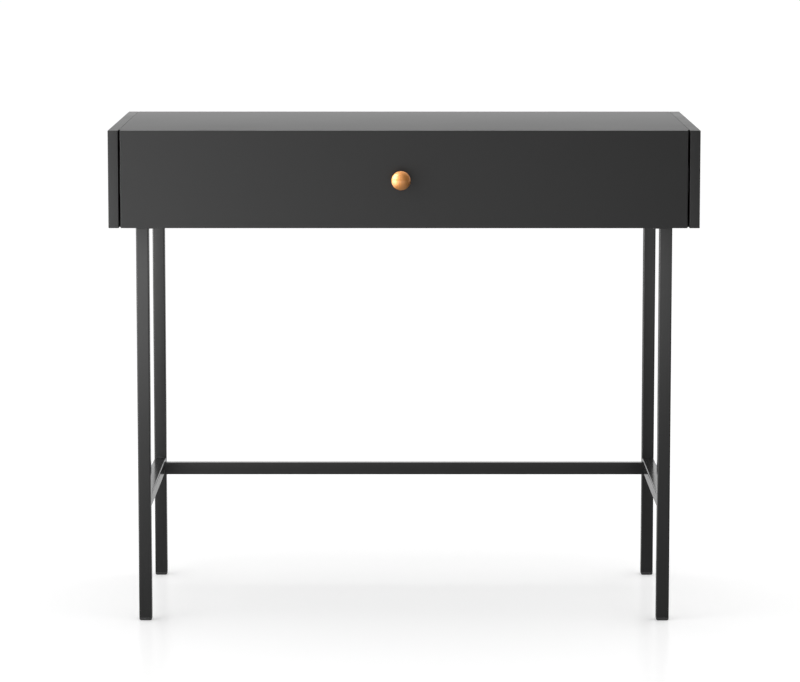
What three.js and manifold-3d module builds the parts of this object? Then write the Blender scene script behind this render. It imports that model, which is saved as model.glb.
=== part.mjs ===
// A writing desk: a case of laminated boards with one wide drawer, on a steel underframe.
//
// Millimetres, +Z up. The origin is on the floor, at the middle of the desk's footprint with its
// knob. The drawer opens towards -Y. Left and right are as seen by someone who sits at the desk,
// so left is -X. The drawer is drawn closed.

import * as THREE from 'three';
import { mergeVertices } from 'three/addons/utils/BufferGeometryUtils.js';
import Module from 'manifold-3d';

const wasm = await Module();
wasm.setup();

// ---------------------------------------------------------------- whole desk

const deskWidth = 920;
const deskHeight = 779;
const caseDepth = 450;
const caseHeight = 152;

// Clearance between two pieces that are fastened together.
const seatGap = 0.3;

// ---------------------------------------------------------------- boards

const boardThickness = 16;
const hardboardThickness = 3;
const edgeRounding = 0.5;
const grooveDepth = 6;
const backPanelInset = 10;
const frontToPanelGap = 2;

const camDiameter = 15;
const camHeight = 12;
const camToPanelEnd = 24;
const camToPanelEdge = 62;
const camRecessLength = 8;
const camRecessWidth = 1.6;
const camRecessDepth = 2.5;

// ---------------------------------------------------------------- drawer

const drawerSideGap = 3;
const drawerBoardThickness = 12;
const drawerSideHeight = 90;
const drawerBottomClearance = 12;
const drawerBottomLift = 10;

const knobOffset = -4.75;
const knobDiameter = 30;
const knobLength = 28;
const knobHeadThickness = 6.2;
const knobRimRounding = 1.6;
const knobNeckDiameter = 11;
const knobNeckHeight = 10;
const knobFootDiameter = 17;
const knobFootHeight = 2;

const knobScrewDiameter = 4;
const knobScrewHeadDiameter = 9;
const knobScrewHeadHeight = 2.6;
const knobScrewHeadEdge = 1;
const knobScrewGrip = 12;
const knobScrewRecessLength = 4.4;
const knobScrewRecessWidth = 1.1;

// ---------------------------------------------------------------- runners

const runnerLengthStep = 50;
const runnerRearClearance = 8;
const runnerHeight = 45;
const runnerThickness = 12.7;
const runnerSetback = 4;
const memberSheet = 1.2;
const memberBend = 2.2;
const middleBend = 0.7;
const webToOuterRace = 2;
const ballDiameter = 4;
const ballGap = 0.2;
const ballCount = 5;
const cabinetLipAngle = 10;
const middleLipAngle = -10;
const drawerLipAngle = 235;
const bendStepAngle = 22;
const cageSheet = 0.6;
const cageEdgeMargin = 0.4;
const cageEndMargin = 10;
const stopHeight = 16;
const stopClearance = 0.6;
const runnerHoleDiameter = 5;
const runnerHoleFirst = 35;
const runnerHolePitch = 128;
const windowLength = 26;
const windowHeight = 12;

// ---------------------------------------------------------------- underframe

const legWidth = 20;
const legDepth = 20;
const legInset = 40.5;
const legSetback = 26;
const tubeWall = 1.5;
const tubeCorner = 2;

const railBottom = 180;
const railHeight = 20;
const crossBarDepth = 15;
const crossBarToRearLegs = 35;

const mountingBarWidth = 30;
const mountingBarThickness = 3;
const mountingHoleDiameter = 5;
const mountingHoleToLeg = 45;

const footFlange = 4;
const footRounding = 2.2;
const footSoleCorner = 0.6;
const footPlugHeight = 16;
const footPlugWall = 1.6;

const boltDiameter = 6;
const boltHeadDiameter = 11;
const boltHeadHeight = 3.3;
const boltHeadFlatDiameter = 6;
const boltSocketAcross = 4;
const boltSocketDepth = 2;
const threadedPlugLength = 15;

// ---------------------------------------------------------------- sizes that follow

const innerWidth = deskWidth - 2 * boardThickness;
const innerHeight = caseHeight - 2 * boardThickness;
const caseBottom = deskHeight - caseHeight;
const grooveWidth = hardboardThickness + 2 * seatGap;
const panelSetback = boardThickness + frontToPanelGap;

const knobProjection = seatGap + knobLength;
const frontPlane = (knobProjection - caseDepth) / 2;
const backPlane = frontPlane + caseDepth;

const ballRadius = ballDiameter / 2;
const raceRadius = ballRadius + ballGap + memberSheet / 2;
const runnerFront = frontPlane + boardThickness + runnerSetback;
// Runners come in steps, and the longest one that clears the back panel is used.
const runnerSpace = backPlane - backPanelInset - grooveWidth - runnerRearClearance - runnerFront;
const runnerLength = runnerLengthStep * Math.floor(runnerSpace / runnerLengthStep);
const movingMemberLength = runnerLength - memberSheet - stopClearance;
const cageLength = runnerLength / 2 - 2 * cageEndMargin;

const drawerBoxWidth = innerWidth - 2 * (runnerThickness + 2 * seatGap);
const drawerBoxFront = frontPlane + boardThickness + seatGap;
const drawerBoxLength = runnerFront + runnerLength - drawerBoxFront;
const drawerBoxBottom = caseBottom + boardThickness + drawerBottomClearance;
const runnerCentre = drawerBoxBottom + drawerSideHeight / 2;
const knobCentre = caseBottom + caseHeight / 2;

const legCentreX = deskWidth / 2 - legInset - legWidth / 2;
const frontLegCentreY = frontPlane + legSetback + legDepth / 2;
const rearLegCentreY = backPlane - legSetback - legDepth / 2;
const mountingBarBottom = caseBottom - seatGap - mountingBarThickness;
const legBottom = footFlange + seatGap;
const legLength = mountingBarBottom - seatGap - legBottom;
const sideRailLength = rearLegCentreY - frontLegCentreY - legDepth - 2 * seatGap;
const crossBarLength = 2 * (legCentreX - legWidth / 2 - seatGap);
const crossBarCentreY = rearLegCentreY - legDepth / 2 - crossBarToRearLegs - crossBarDepth / 2;
const crossBarCentreZ = railBottom + railHeight / 2;

// ---------------------------------------------------------------- finishes

const finishes = {
  laminate: { color: 0x3e3e3f, roughness: 0.45, metalness: 0 },
  hardboard: { color: 0x4a4846, roughness: 0.7, metalness: 0 },
  powderCoat: { color: 0x3b3b3c, roughness: 0.5, metalness: 0 },
  zincPlate: { color: 0xb9bbbd, roughness: 0.35, metalness: 1 },
  blackDipCoat: { color: 0x1b1b1c, roughness: 0.4, metalness: 0 },
  castZinc: { color: 0x9b9da0, roughness: 0.5, metalness: 1 },
  satinBrass: { color: 0xc98f57, roughness: 0.3, metalness: 1 },
  bearingSteel: { color: 0xc7c9cc, roughness: 0.2, metalness: 1 },
  blackPlastic: { color: 0x262627, roughness: 0.6, metalness: 0 },
};

function part(name, geometry, finish) {
  const mesh = new THREE.Mesh(geometry, new THREE.MeshStandardMaterial(finishes[finish]));
  mesh.name = name;
  return mesh;
}

function place(mesh, x, y, z) {
  mesh.position.set(x, y, z);
  return mesh;
}

// ---------------------------------------------------------------- joining and cutting

function toManifold(geometry) {
  const bare = geometry.clone();
  bare.deleteAttribute('normal');
  bare.deleteAttribute('uv');
  const merged = mergeVertices(bare);
  const mesh = new wasm.Mesh({
    numProp: 3,
    vertProperties: merged.attributes.position.array,
    triVerts: merged.index.array,
  });
  return new wasm.Manifold(mesh);
}

function toGeometry(manifold) {
  const mesh = manifold.getMesh();
  const geometry = new THREE.BufferGeometry();
  geometry.setAttribute('position', new THREE.BufferAttribute(mesh.vertProperties, 3));
  geometry.setIndex(new THREE.BufferAttribute(mesh.triVerts, 1));
  const flat = geometry.toNonIndexed();
  flat.computeVertexNormals();
  return flat;
}

function join(geometries) {
  const solids = geometries.map(toManifold);
  return toGeometry(solids.reduce((whole, solid) => whole.add(solid)));
}

function cut(geometry, tools) {
  const solids = tools.map(toManifold);
  return toGeometry(solids.reduce((whole, tool) => whole.subtract(tool), toManifold(geometry)));
}

// ---------------------------------------------------------------- basic forms

// A box from its lowest to its highest corner.
function box(low, high) {
  const size = high.map((value, axis) => value - low[axis]);
  const centre = high.map((value, axis) => (value + low[axis]) / 2);
  return new THREE.BoxGeometry(...size).translate(...centre);
}

function roundedRectangle(width, height, radius) {
  const x = width / 2 - radius;
  const y = height / 2 - radius;
  const quarter = Math.PI / 2;
  const outline = new THREE.Shape();
  outline.absarc(x, y, radius, 0, quarter);
  outline.absarc(-x, y, radius, quarter, 2 * quarter);
  outline.absarc(-x, -y, radius, 2 * quarter, 3 * quarter);
  outline.absarc(x, -y, radius, 3 * quarter, 4 * quarter);
  return outline;
}

// A board with its lower front left corner at the origin, and the small rounding of an edge band.
function board(width, depth, height) {
  const outline = roundedRectangle(width, depth, 2 * edgeRounding);
  const rounded = new THREE.ExtrudeGeometry(outline, {
    depth: height - 2 * edgeRounding,
    curveSegments: 1,
    bevelSegments: 2,
    bevelThickness: edgeRounding,
    bevelSize: edgeRounding,
    bevelOffset: -edgeRounding,
  });
  return rounded.translate(width / 2, depth / 2, edgeRounding);
}

// A section drawn in X and Y, drawn out upwards.
function drawUp(outline, length) {
  return new THREE.ExtrudeGeometry(outline, { depth: length, bevelEnabled: false, curveSegments: 2 });
}

// A section drawn in X and Z, drawn out from the front end at y = 0 towards the back.
function drawBack(outline, length) {
  return drawUp(outline, length).rotateX(Math.PI / 2).translate(0, length, 0);
}

// A section drawn in Y and Z, drawn out from x = 0 to the right.
function drawRight(outline, length) {
  return drawUp(outline, length).rotateX(Math.PI / 2).rotateZ(Math.PI / 2);
}

// A cylinder along +X, +Y or +Z from a start point.
function rod(axis, start, radius, length, sides = 20) {
  const geometry = new THREE.CylinderGeometry(radius, radius, length, sides);
  geometry.translate(0, length / 2, 0);
  if (axis === 'x') {
    geometry.rotateZ(-Math.PI / 2);
  }
  if (axis === 'z') {
    geometry.rotateX(Math.PI / 2);
  }
  return geometry.translate(...start);
}

function tubeSection(width, height) {
  const section = roundedRectangle(width, height, tubeCorner);
  section.holes.push(roundedRectangle(width - 2 * tubeWall, height - 2 * tubeWall, tubeCorner / 2));
  return section;
}

// ---------------------------------------------------------------- case

// Where the back panel's groove lies in a panel that ends at the desk's back.
function backGroove(panelDepth) {
  const back = panelDepth - backPanelInset;
  return { front: back - grooveWidth, back };
}

function camPlaces(width, depth) {
  const places = [];
  for (const [row, y] of [['front', camToPanelEdge], ['rear', depth - camToPanelEdge]]) {
    places.push({ name: `${row}_left`, x: camToPanelEnd, y });
    places.push({ name: `${row}_right`, x: width - camToPanelEnd, y });
  }
  return places;
}

// A horizontal panel with its groove and cam pockets in the face that looks into the case.
function horizontalPanel(width, depth, insideFaceUp) {
  const groove = backGroove(depth);
  const pocketDepth = camHeight + seatGap;
  const pocketRadius = camDiameter / 2 + seatGap;
  const pocketBottom = insideFaceUp ? boardThickness - pocketDepth : -seatGap;
  const grooveBottom = insideFaceUp ? boardThickness - grooveDepth : -seatGap;
  const tools = camPlaces(width, depth).map(({ x, y }) => (
    rod('z', [x, y, pocketBottom], pocketRadius, pocketDepth + seatGap)
  ));
  tools.push(box(
    [-seatGap, groove.front, grooveBottom],
    [width + seatGap, groove.back, grooveBottom + grooveDepth + seatGap],
  ));
  return cut(board(width, depth, boardThickness), tools);
}

function camLock() {
  const body = rod('z', [0, 0, 0], camDiameter / 2, camHeight);
  const half = camRecessLength / 2;
  const halfWidth = camRecessWidth / 2;
  const floor = camHeight - camRecessDepth;
  return cut(body, [
    box([-half, -halfWidth, floor], [half, halfWidth, camHeight + seatGap]),
    box([-halfWidth, -half, floor], [halfWidth, half, camHeight + seatGap]),
  ]);
}

function sidePanel(side) {
  const groove = backGroove(caseDepth);
  const innerFace = side < 0 ? boardThickness : 0;
  const grooveLow = boardThickness - grooveDepth;
  return cut(board(boardThickness, caseDepth, caseHeight), [box(
    [innerFace - grooveDepth, groove.front, grooveLow],
    [innerFace + grooveDepth, groove.back, caseHeight - grooveLow],
  )]);
}

function backPanel() {
  const tongue = grooveDepth - seatGap;
  return box(
    [-innerWidth / 2 - tongue, 0, -tongue],
    [innerWidth / 2 + tongue, hardboardThickness, innerHeight + tongue],
  );
}

function makeCase() {
  const group = new THREE.Group();
  const width = innerWidth - 2 * seatGap;
  const depth = caseDepth - panelSetback;
  const panelFront = frontPlane + panelSetback;
  const topBottom = deskHeight - boardThickness;

  const top = part('top_panel', horizontalPanel(width, depth, false), 'laminate');
  group.add(place(top, -width / 2, panelFront, topBottom));
  const bottom = part('bottom_panel', horizontalPanel(width, depth, true), 'laminate');
  group.add(place(bottom, -width / 2, panelFront, caseBottom));
  const left = part('left_side_panel', sidePanel(-1), 'laminate');
  group.add(place(left, -deskWidth / 2, frontPlane, caseBottom));
  const right = part('right_side_panel', sidePanel(1), 'laminate');
  group.add(place(right, innerWidth / 2, frontPlane, caseBottom));
  const back = part('back_panel', backPanel(), 'hardboard');
  const backFront = backPlane - backPanelInset - seatGap - hardboardThickness;
  group.add(place(back, 0, backFront, caseBottom + boardThickness));

  for (const { name, x, y } of camPlaces(width, depth)) {
    const upper = part(`top_cam_${name}`, camLock(), 'castZinc');
    upper.rotation.x = Math.PI;
    group.add(place(upper, x - width / 2, panelFront + y, topBottom + camHeight));
    const lower = part(`bottom_cam_${name}`, camLock(), 'castZinc');
    const lowerFloor = caseBottom + boardThickness - camHeight;
    group.add(place(lower, x - width / 2, panelFront + y, lowerFloor));
  }
  return group;
}

// ---------------------------------------------------------------- drawer

function drawerFront() {
  const width = innerWidth - 2 * drawerSideGap;
  const boxInside = drawerBoxWidth - 2 * drawerBoardThickness;
  const grooveBottom = drawerBoxBottom - caseBottom + drawerBottomLift;
  const holeRadius = knobScrewDiameter / 2 + seatGap;
  const front = board(width, boardThickness, caseHeight).translate(-width / 2, 0, 0);
  return cut(front, [
    box(
      [-boxInside / 2 - grooveDepth, boardThickness - grooveDepth, grooveBottom],
      [boxInside / 2 + grooveDepth, boardThickness + seatGap, grooveBottom + grooveWidth],
    ),
    rod('y', [knobOffset, -seatGap, caseHeight / 2], holeRadius, boardThickness + 2 * seatGap),
  ]);
}

function drawerSide(side) {
  const innerFace = side < 0 ? drawerBoardThickness : 0;
  const body = board(drawerBoardThickness, drawerBoxLength, drawerSideHeight);
  return cut(body, [box(
    [innerFace - grooveDepth, -seatGap, drawerBottomLift],
    [innerFace + grooveDepth, drawerBoxLength + seatGap, drawerBottomLift + grooveWidth],
  )]);
}

// The back stands on the hardboard bottom, which runs under it to the rear ends of the sides.
function drawerBack() {
  const width = drawerBoxWidth - 2 * drawerBoardThickness - 2 * seatGap;
  const height = drawerSideHeight - drawerBottomLift - grooveWidth;
  return board(width, drawerBoardThickness, height).translate(-width / 2, 0, 0);
}

function drawerBottom() {
  const tongue = grooveDepth - seatGap;
  const halfWidth = drawerBoxWidth / 2 - drawerBoardThickness + tongue;
  return box(
    [-halfWidth, -seatGap - tongue, 0],
    [halfWidth, drawerBoxLength, hardboardThickness],
  );
}

// A turned knob: foot, waisted neck, and a broad head with a rounded rim under a shallow dome.
// Its axis is +Y, and the screw's blind bore opens in the foot.
function knob() {
  const underHead = knobLength - knobHeadThickness;
  const neckRadius = knobNeckDiameter / 2;
  const rim = { r: knobDiameter / 2 - knobRimRounding, h: underHead + knobRimRounding };
  const rimEnd = knobRimRounding * Math.SQRT1_2;
  const domeBase = { r: rim.r + rimEnd, h: rim.h + rimEnd };
  const domeHeight = knobLength - domeBase.h;
  const domeRadius = (domeBase.r ** 2 + domeHeight ** 2) / (2 * domeHeight);
  const domeStart = Math.acos(domeBase.r / domeRadius);
  const boreRadius = knobScrewDiameter / 2 + seatGap;
  const boreDepth = knobScrewGrip + seatGap;
  const profile = new THREE.Path();
  profile.moveTo(0, boreDepth);
  profile.lineTo(boreRadius, boreDepth);
  profile.lineTo(boreRadius, 0);
  profile.lineTo(knobFootDiameter / 2, 0);
  profile.lineTo(knobFootDiameter / 2, knobFootHeight);
  profile.quadraticCurveTo(neckRadius, knobFootHeight, neckRadius, knobNeckHeight);
  profile.quadraticCurveTo(neckRadius, underHead, rim.r, underHead);
  profile.absarc(rim.r, rim.h, knobRimRounding, -Math.PI / 2, Math.PI / 4);
  profile.absarc(0, knobLength - domeRadius, domeRadius, domeStart, Math.PI / 2);
  const points = profile.getPoints(4);
  points[points.length - 1].x = 0;
  return new THREE.LatheGeometry(points, 32);
}

function crossRecess(length, width, floor, top) {
  return [
    box([-length / 2, floor, -width / 2], [length / 2, top, width / 2]),
    box([-width / 2, floor, -length / 2], [width / 2, top, length / 2]),
  ];
}

// Its head lies at y = 0 and above, and its shank runs towards -Y.
function knobScrew() {
  const shankLength = boardThickness + 2 * seatGap + knobScrewGrip;
  const headRadius = knobScrewHeadDiameter / 2;
  const profile = new THREE.Path();
  profile.moveTo(0, -shankLength);
  profile.lineTo(knobScrewDiameter / 2, -shankLength);
  profile.lineTo(knobScrewDiameter / 2, 0);
  profile.lineTo(headRadius, 0);
  profile.lineTo(headRadius, knobScrewHeadEdge);
  profile.quadraticCurveTo(headRadius, knobScrewHeadHeight, headRadius / 2, knobScrewHeadHeight);
  profile.lineTo(0, knobScrewHeadHeight);
  const turned = new THREE.LatheGeometry(profile.getPoints(3), 16);
  const top = knobScrewHeadHeight + seatGap;
  return cut(turned, crossRecess(knobScrewRecessLength, knobScrewRecessWidth, knobScrewHeadEdge, top));
}

function makeDrawer() {
  const group = new THREE.Group();
  const halfWidth = drawerBoxWidth / 2;
  const bottomZ = drawerBoxBottom + drawerBottomLift + seatGap;
  const backY = drawerBoxFront + drawerBoxLength - drawerBoardThickness;

  group.add(place(part('drawer_front', drawerFront(), 'laminate'), 0, frontPlane, caseBottom));
  const left = part('drawer_left_side', drawerSide(-1), 'laminate');
  group.add(place(left, -halfWidth, drawerBoxFront, drawerBoxBottom));
  const right = part('drawer_right_side', drawerSide(1), 'laminate');
  group.add(place(right, halfWidth - drawerBoardThickness, drawerBoxFront, drawerBoxBottom));
  const back = part('drawer_back', drawerBack(), 'laminate');
  group.add(place(back, 0, backY, bottomZ + hardboardThickness + seatGap));
  group.add(place(part('drawer_bottom', drawerBottom(), 'hardboard'), 0, drawerBoxFront, bottomZ));

  const handle = part('knob', knob(), 'satinBrass');
  handle.rotation.x = Math.PI;
  group.add(place(handle, knobOffset, frontPlane - seatGap, knobCentre));
  const screw = part('knob_screw', knobScrew(), 'zincPlate');
  group.add(place(screw, knobOffset, frontPlane + boardThickness + seatGap, knobCentre));
  return group;
}

// ---------------------------------------------------------------- runners

// A telescopic runner is seen here from its front end: u runs from the case's side panel to the
// drawer, v runs up, and the two ball races are mirrored about v = 0. The outer balls run
// between the cabinet member and the middle member, and the inner balls between the middle
// member and the drawer member.
const outerCageWeb = memberSheet + seatGap;
const middleWeb = outerCageWeb + cageSheet + seatGap;
const innerCageWeb = middleWeb + memberSheet + seatGap;
const outerRace = {
  u: middleWeb + memberSheet / 2 + webToOuterRace,
  v: runnerHeight / 2 - memberSheet / 2 - raceRadius,
};
const innerRace = {
  u: runnerThickness - 1.5 * memberSheet - seatGap - raceRadius,
  v: outerRace.v - 2 * raceRadius,
};

// Two arcs that run into each other share a point, which is kept once.
const samePoint = 1e-6;

// Points on an arc, clockwise or anticlockwise, both ends included.
function arc(centre, radius, from, to) {
  const steps = Math.max(1, Math.round(Math.abs(to - from) / bendStepAngle));
  const points = [];
  for (let step = 0; step <= steps; step += 1) {
    const angle = (from + (to - from) * step / steps) * Math.PI / 180;
    points.push(new THREE.Vector2(
      centre.u + radius * Math.cos(angle),
      centre.v + radius * Math.sin(angle),
    ));
  }
  return points;
}

// The outline of a sheet of one thickness that is bent along a centre line.
function bentSheet(line, thickness) {
  const left = [];
  const right = [];
  line.forEach((point, index) => {
    const before = line[Math.max(index - 1, 0)];
    const after = line[Math.min(index + 1, line.length - 1)];
    const into = index > 0 ? point.clone().sub(before).normalize() : after.clone().sub(point).normalize();
    const out = index < line.length - 1 ? after.clone().sub(point).normalize() : into;
    const mitre = new THREE.Vector2(-into.y - out.y, into.x + out.x).normalize();
    const stretch = thickness / 2 / (mitre.x * -into.y + mitre.y * into.x);
    left.push(point.clone().addScaledVector(mitre, stretch));
    right.push(point.clone().addScaledVector(mitre, -stretch));
  });
  return new THREE.Shape([...left, ...right.reverse()]);
}

// The upper half of a member's centre line, mirrored to make the whole, turned for its side.
function channel(upperHalf, side, thickness = memberSheet) {
  const lowerHalf = upperHalf.map(({ x, y }) => new THREE.Vector2(x, -y)).reverse();
  const line = [...lowerHalf, ...upperHalf].map(({ x, y }) => new THREE.Vector2(-side * x, y));
  const isNew = (point, index) => index === 0 || point.distanceTo(line[index - 1]) > samePoint;
  return bentSheet(line.filter(isNew), thickness);
}

function cabinetSection(side) {
  const web = memberSheet / 2;
  const bend = { u: web + memberBend, v: outerRace.v + raceRadius - memberBend };
  return channel([
    ...arc(bend, memberBend, 180, 90),
    ...arc(outerRace, raceRadius, 90, cabinetLipAngle),
  ], side);
}

// The web turns over in a tight bend that runs on into the hollow under the outer balls.
function middleSection(side) {
  const bendU = middleWeb + memberSheet / 2 + middleBend;
  const across = outerRace.u - bendU;
  const up = Math.sqrt((raceRadius + middleBend) ** 2 - across ** 2);
  const bend = { u: bendU, v: outerRace.v - up };
  const turn = Math.atan2(up, across) * 180 / Math.PI;
  return channel([
    ...arc(bend, middleBend, 180, turn),
    ...arc(outerRace, raceRadius, 180 + turn, 270),
    ...arc(innerRace, raceRadius, 90, middleLipAngle),
  ], side);
}

function drawerSection(side) {
  const web = runnerThickness - memberSheet / 2;
  const flange = innerRace.v - raceRadius;
  const bend = { u: web - memberBend, v: flange - memberBend };
  return channel([
    ...arc(bend, memberBend, 0, 90),
    ...arc(innerRace, raceRadius, 270, drawerLipAngle),
  ], side);
}

function holePlaces() {
  const places = [];
  for (let y = runnerHoleFirst; y <= runnerLength - runnerHoleFirst; y += runnerHolePitch) {
    places.push(y);
  }
  return places;
}

// Round screw holes through a web that starts at the given distance from the side panel.
function webHoles(side, web, places) {
  const start = Math.min(-side * (web - seatGap), -side * (web + memberSheet + seatGap));
  return places.map((y) => (
    rod('x', [start, y, 0], runnerHoleDiameter / 2, memberSheet + 2 * seatGap, 12)
  ));
}

// The rear end of the cabinet member is turned in, to stop the other two members.
function cabinetMember(side) {
  const depth = innerRace.u;
  const stop = box([0, 0, 0], [depth, memberSheet, stopHeight]);
  stop.translate(side < 0 ? 0 : -depth, runnerLength - memberSheet, -stopHeight / 2);
  const profile = drawBack(cabinetSection(side), runnerLength);
  return cut(join([profile, stop]), webHoles(side, 0, holePlaces()));
}

// Windows in the middle member's web give a way to the screws behind it.
function middleMember(side) {
  const profile = drawBack(middleSection(side), movingMemberLength);
  const start = Math.min(-side * (middleWeb - seatGap), -side * (middleWeb + memberSheet + seatGap));
  const outline = roundedRectangle(windowLength, windowHeight, windowHeight / 2 - seatGap);
  const windows = holePlaces().map((y) => (
    drawRight(outline, memberSheet + 2 * seatGap).translate(start, y, 0)
  ));
  return cut(profile, windows);
}

function drawerMember(side) {
  const profile = drawBack(drawerSection(side), movingMemberLength);
  return cut(profile, webHoles(side, runnerThickness - memberSheet, holePlaces()));
}

// A cage is a thin channel that carries a row of balls along each flange.
function ballCage(side, web, race) {
  const middle = web + cageSheet / 2;
  const reach = race.u + ballRadius - cageEdgeMargin;
  const section = channel([
    new THREE.Vector2(middle, race.v),
    new THREE.Vector2(reach, race.v),
  ], side, cageSheet);
  const pieces = [drawBack(section, cageLength)];
  for (let index = 0; index < ballCount; index += 1) {
    const y = cageEndMargin + (cageLength - 2 * cageEndMargin) * index / (ballCount - 1);
    for (const v of [-race.v, race.v]) {
      pieces.push(new THREE.SphereGeometry(ballRadius, 8, 4).translate(-side * race.u, y, v));
    }
  }
  return join(pieces);
}

function makeRunner(side) {
  const group = new THREE.Group();
  const word = side < 0 ? 'left' : 'right';
  const cageFront = (runnerLength - cageLength) / 2;
  group.add(part(`${word}_cabinet_member`, cabinetMember(side), 'blackDipCoat'));
  group.add(part(`${word}_middle_member`, middleMember(side), 'blackDipCoat'));
  group.add(part(`${word}_drawer_member`, drawerMember(side), 'blackDipCoat'));
  const outer = part(`${word}_outer_ball_cage`, ballCage(side, outerCageWeb, outerRace), 'bearingSteel');
  group.add(place(outer, 0, cageFront, 0));
  const inner = part(`${word}_inner_ball_cage`, ballCage(side, innerCageWeb, innerRace), 'bearingSteel');
  group.add(place(inner, 0, cageFront, 0));
  group.position.set(side * (innerWidth / 2 - seatGap), runnerFront, runnerCentre);
  return group;
}

// ---------------------------------------------------------------- underframe

// A foot insert: a flange under the tube's end, with its lower edge rounded, and a hollow plug.
function foot() {
  const plugWidth = legWidth - 2 * tubeWall - 2 * seatGap;
  const plugDepth = legDepth - 2 * tubeWall - 2 * seatGap;
  const outline = roundedRectangle(legWidth, legDepth, footRounding + footSoleCorner);
  const rounded = new THREE.ExtrudeGeometry(outline, {
    depth: footFlange,
    curveSegments: 1,
    bevelSegments: 2,
    bevelThickness: footRounding,
    bevelSize: footRounding,
    bevelOffset: -footRounding,
  }).translate(0, 0, footRounding);
  const above = box(
    [-legWidth, -legDepth, footFlange],
    [legWidth, legDepth, footFlange + 2 * footRounding + seatGap],
  );
  const plug = drawUp(roundedRectangle(plugWidth, plugDepth, tubeCorner / 2), footPlugHeight);
  const hollow = drawUp(
    roundedRectangle(plugWidth - 2 * footPlugWall, plugDepth - 2 * footPlugWall, tubeCorner / 4),
    footPlugHeight,
  );
  const flange = cut(rounded, [above]);
  const middle = footFlange / 2;
  return cut(join([flange, plug.translate(0, 0, middle)]), [hollow.translate(0, 0, footFlange)]);
}

// A flat bar on top of a front and a rear leg, its outer edge in line with the tubes.
function mountingBar(side) {
  const length = rearLegCentreY - frontLegCentreY + legDepth;
  const outline = roundedRectangle(mountingBarWidth, length, tubeCorner);
  const bar = drawUp(outline, mountingBarThickness);
  bar.translate(side * (legWidth - mountingBarWidth) / 2, length / 2, 0);
  const places = [legDepth + mountingHoleToLeg, length / 2, length - legDepth - mountingHoleToLeg];
  return cut(bar, places.map((y) => (
    rod('z', [0, y, -seatGap], mountingHoleDiameter / 2, mountingBarThickness + 2 * seatGap, 12)
  )));
}

function sideRail() {
  const tube = drawBack(tubeSection(legWidth, railHeight), sideRailLength);
  const boltY = crossBarCentreY - frontLegCentreY - legDepth / 2 - seatGap;
  const hole = rod('x', [-legWidth, boltY, 0], boltDiameter / 2 + seatGap, 2 * legWidth);
  return cut(tube, [hole]);
}

// A block in the end of the cross bar, bored for the bolt.
function threadedPlug() {
  const depth = crossBarDepth - 2 * tubeWall - 2 * seatGap;
  const height = railHeight - 2 * tubeWall - 2 * seatGap;
  const block = drawRight(roundedRectangle(depth, height, tubeCorner / 2), threadedPlugLength);
  const bore = rod('x', [-seatGap, 0, 0], boltDiameter / 2 + seatGap, threadedPlugLength + 2 * seatGap);
  return cut(block, [bore]);
}

// A button-headed bolt along +Y with a hexagon socket, its head under y = 0.
function crossBarBolt() {
  const shankLength = legWidth + seatGap + threadedPlugLength;
  const headRadius = boltHeadDiameter / 2;
  const profile = new THREE.Path();
  profile.moveTo(0, -boltHeadHeight);
  profile.lineTo(boltHeadFlatDiameter / 2, -boltHeadHeight);
  profile.quadraticCurveTo(headRadius, -boltHeadHeight, headRadius, 0);
  profile.lineTo(boltDiameter / 2, 0);
  profile.lineTo(boltDiameter / 2, shankLength);
  profile.lineTo(0, shankLength);
  const turned = new THREE.LatheGeometry(profile.getPoints(4), 16);
  const socketRadius = boltSocketAcross / Math.sqrt(3);
  const socket = new THREE.CylinderGeometry(socketRadius, socketRadius, 2 * boltSocketDepth, 6);
  return cut(turned, [socket.translate(0, -boltHeadHeight, 0)]);
}

function makeUnderframeSide(side) {
  const group = new THREE.Group();
  const word = side < 0 ? 'left' : 'right';
  const x = side * legCentreX;
  for (const [row, y] of [['front', frontLegCentreY], ['rear', rearLegCentreY]]) {
    const leg = part(`${row}_${word}_leg`, drawUp(tubeSection(legWidth, legDepth), legLength), 'powderCoat');
    group.add(place(leg, x, y, legBottom));
    group.add(place(part(`${row}_${word}_foot`, foot(), 'blackPlastic'), x, y, 0));
  }

  const bar = part(`${word}_mounting_bar`, mountingBar(side), 'powderCoat');
  group.add(place(bar, x, frontLegCentreY - legDepth / 2, mountingBarBottom));
  const rail = part(`${word}_side_rail`, sideRail(), 'powderCoat');
  group.add(place(rail, x, frontLegCentreY + legDepth / 2 + seatGap, crossBarCentreZ));

  const plug = part(`${word}_threaded_plug`, threadedPlug(), 'zincPlate');
  const plugLeft = side < 0 ? -crossBarLength / 2 : crossBarLength / 2 - threadedPlugLength;
  group.add(place(plug, plugLeft, crossBarCentreY, crossBarCentreZ));
  const bolt = part(`${word}_cross_bar_bolt`, crossBarBolt(), 'zincPlate');
  bolt.rotation.z = side * Math.PI / 2;
  const boltSeat = side * (legCentreX + legWidth / 2 + seatGap);
  group.add(place(bolt, boltSeat, crossBarCentreY, crossBarCentreZ));
  return group;
}

function crossBar() {
  const tube = drawRight(tubeSection(crossBarDepth, railHeight), crossBarLength);
  const bar = part('cross_bar', tube, 'powderCoat');
  return place(bar, -crossBarLength / 2, crossBarCentreY, crossBarCentreZ);
}

// ---------------------------------------------------------------- the desk

const desk = new THREE.Group();
desk.add(makeCase());
desk.add(makeDrawer());
desk.add(makeRunner(-1));
desk.add(makeRunner(1));
desk.add(makeUnderframeSide(-1));
desk.add(makeUnderframeSide(1));
desk.add(crossBar());

export default desk;
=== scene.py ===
"""Writing desk with one drawer: its finishes, its fine pieces and a small studio to show it in.

The construction model is loaded as a fixed frame. Boards, tubes and channels keep their shapes and
get their finishes here. Turned, cast and ball-bearing pieces are replaced by finer meshes, and
small screws and weld beads are added. All lengths are in metres, in the construction model's frame.
"""

import math

import bmesh
import bpy
from bpy.props import FloatProperty, FloatVectorProperty, IntProperty, PointerProperty
from mathutils import Matrix, Vector


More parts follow.
